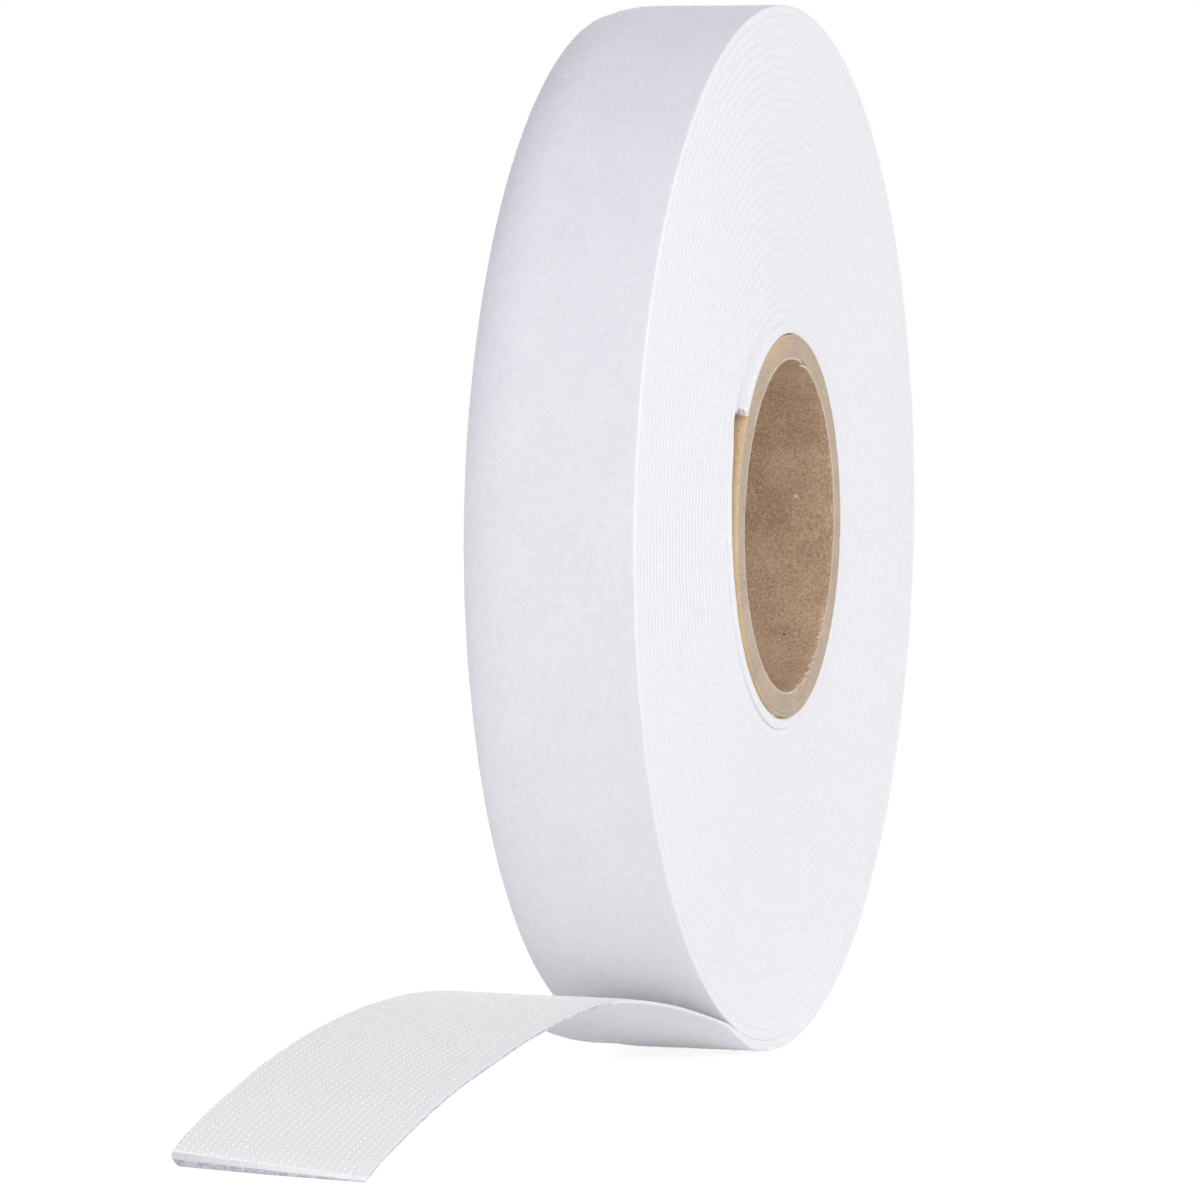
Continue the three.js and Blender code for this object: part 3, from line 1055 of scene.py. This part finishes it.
def direction(azimuth, elevation):
    """From the roll outwards. Azimuth is measured from -Y towards +X."""
    level = math.cos(elevation)
    return Vector((math.sin(azimuth) * level, -math.cos(azimuth) * level, math.sin(elevation)))


def make_camera():
    back = direction(CAMERA_AZIMUTH, CAMERA_ELEVATION)
    level_right = Vector((math.cos(CAMERA_AZIMUTH), math.sin(CAMERA_AZIMUTH), 0))
    level_up = back.cross(level_right)
    right = level_right * math.cos(CAMERA_ROLL) + level_up * math.sin(CAMERA_ROLL)
    up = back.cross(right)
    place = Vector((0, 0, AXIS_HEIGHT)) + back * CAMERA_DISTANCE - right * CAMERA_RIGHT - up * CAMERA_UP
    data = bpy.data.cameras.new("camera")
    data.lens = CAMERA_LENS
    data.sensor_width = SENSOR
    data.clip_start = 0.01
    data.clip_end = 20
    camera = add_object("camera", data)
    camera.matrix_world = Matrix.Translation(place) @ Matrix((right, up, back)).transposed().to_4x4()
    bpy.context.scene.camera = camera


def split_rays(tree, lights, seen, output):
    """Joins two shaders: one for light that falls on things, and one for rays from the camera, a glossy
    surface or a clear one."""
    nodes, links = tree.nodes, tree.links
    path = nodes.new("ShaderNodeLightPath")
    total = path.outputs["Is Camera Ray"]
    for name in ("Is Glossy Ray", "Is Transmission Ray"):
        larger = nodes.new("ShaderNodeMath")
        larger.operation = "MAXIMUM"
        links.new(total, larger.inputs[0])
        links.new(path.outputs[name], larger.inputs[1])
        total = larger.outputs[0]
    mixed = nodes.new("ShaderNodeMixShader")
    for socket, value in zip(mixed.inputs, (total, lights.outputs[0], seen.outputs[0])):
        links.new(value, socket)
    links.new(mixed.outputs[0], nodes[output].inputs["Surface"])


FLOOR_RADIUS = 3.0
FLOOR_SEGMENTS = 96
FLOOR_DROP = 0.05 * MM
# Near and far from the object
FLOOR_GLOW = (0.80, 0.93)
FLOOR_GLOW_DISTANCES = (0.2, 0.9)
AMBIENT = (0.272, 0.284, 0.322, 1)
LAMP_SIZE = 0.9
LAMP_DISTANCE = 1.3
TABLE_LIGHT_SIZE = 0.6
# Name, azimuth, elevation and watts
SOFT_LAMPS = (("front_lamp", 10 * DEGREE, 9 * DEGREE, 7.9),
              ("right_lamp", 80 * DEGREE, 30 * DEGREE, 8.4),
              ("back_lamp", 225 * DEGREE, 3 * DEGREE, 11.0))
TABLE_LIGHT_POWER = 0.13


def make_floor():
    """A pale floor. What is seen of it is lifted to white, and it keeps the soft shadow."""
    angle = np.arange(FLOOR_SEGMENTS) * TURN / FLOOR_SEGMENTS
    rim = np.stack([np.cos(angle), np.sin(angle), 0 * angle], axis=1) * FLOOR_RADIUS
    rim[:, 2] = cad_low[2] - FLOOR_DROP
    graph = Graph("pale_floor")
    grain = graph.noise(graph.place(40), 1.0, 2.0)
    graph.finish(graph.ramp(grain, (0.4, (0.82,) * 3), (0.6, (0.84,) * 3)), 0.9, Specular_IOR_Level=0.1)
    seen = graph.add("ShaderNodeBsdfDiffuse", {"Color": (0.46, 0.46, 0.46, 1)})
    place = graph.add("ShaderNodeTexCoord").outputs["Object"]
    away = graph.add("ShaderNodeVectorMath", {0: place}, operation="LENGTH").outputs["Value"]
    inputs = {"Value": away, "From Min": FLOOR_GLOW_DISTANCES[0], "From Max": FLOOR_GLOW_DISTANCES[1],
              "To Min": FLOOR_GLOW[0], "To Max": FLOOR_GLOW[1]}
    strength = graph.add("ShaderNodeMapRange", inputs).outputs["Result"]
    glow = graph.add("ShaderNodeEmission", {"Color": (1, 1, 1, 1), "Strength": strength})
    lifted = graph.add("ShaderNodeAddShader", {0: seen.outputs[0], 1: glow.outputs[0]})
    split_rays(graph.material.node_tree, graph.shader, lifted, "Material Output")
    add_piece("floor", rim, [list(range(FLOOR_SEGMENTS))], [graph.material])


def add_lamp(name, place, back, size, power):
    """A round lamp at a place. It shines against the direction called back."""
    data = bpy.data.lights.new(name, "AREA")
    data.shape = "DISK"
    data.size = size
    data.energy = power
    lamp = add_object(name, data)
    lamp.location = place
    lamp.rotation_mode = "QUATERNION"
    lamp.rotation_quaternion = back.to_track_quat("Z", "Y")
    lamp.visible_camera = False


def make_light():
    """A dim world that is seen as white, three soft lamps and light from the table under the part."""
    world = bpy.data.worlds.new("studio")
    bpy.context.scene.world = world
    world.use_nodes = True
    ambient = world.node_tree.nodes["Background"]
    ambient.inputs["Color"].default_value = AMBIENT
    white = world.node_tree.nodes.new("ShaderNodeBackground")
    white.inputs["Color"].default_value = (1, 1, 1, 1)
    split_rays(world.node_tree, ambient, white, "World Output")

    for name, azimuth, elevation, power in SOFT_LAMPS:
        back = direction(azimuth, elevation)
        add_lamp(name, Vector((0, 0, AXIS_HEIGHT)) + back * LAMP_DISTANCE, back, LAMP_SIZE, power)
    table = Vector((0, 0, cad_low[2]))
    add_lamp("table_light", table, Vector((0, 0, -1)), TABLE_LIGHT_SIZE, TABLE_LIGHT_POWER)


make_camera()
make_core()
make_starter()
wound, wound_length = make_wound_tape()
free_run, wrap_length = free_path(TAIL_SPACING)
free, free_length = make_free_tape(free_run, wrap_length)
outer_run = wound_path(LEAVE_ANGLE - TURN, SEAM, OUTER_STATIONS)
wound_loops = make_loops("wound_loops", outer_run, 0 * outer_run.length)
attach(wound_loops, "roll")
free_loops = make_loops("free_loops", free_run, tail_share(free_run, wrap_length))
blend_off_roll(free_loops)
tail = rest_of(free_run, wrap_length)
hooks = make_hooks(tail)
start_threads = make_frayed_start()
tail_threads = make_tail_threads(tail)
core_fuzz = make_core_fuzz()
edge_fibres = make_edge_fibres()

make_floor()
make_light()
bpy.context.scene.view_settings.view_transform = "Standard"
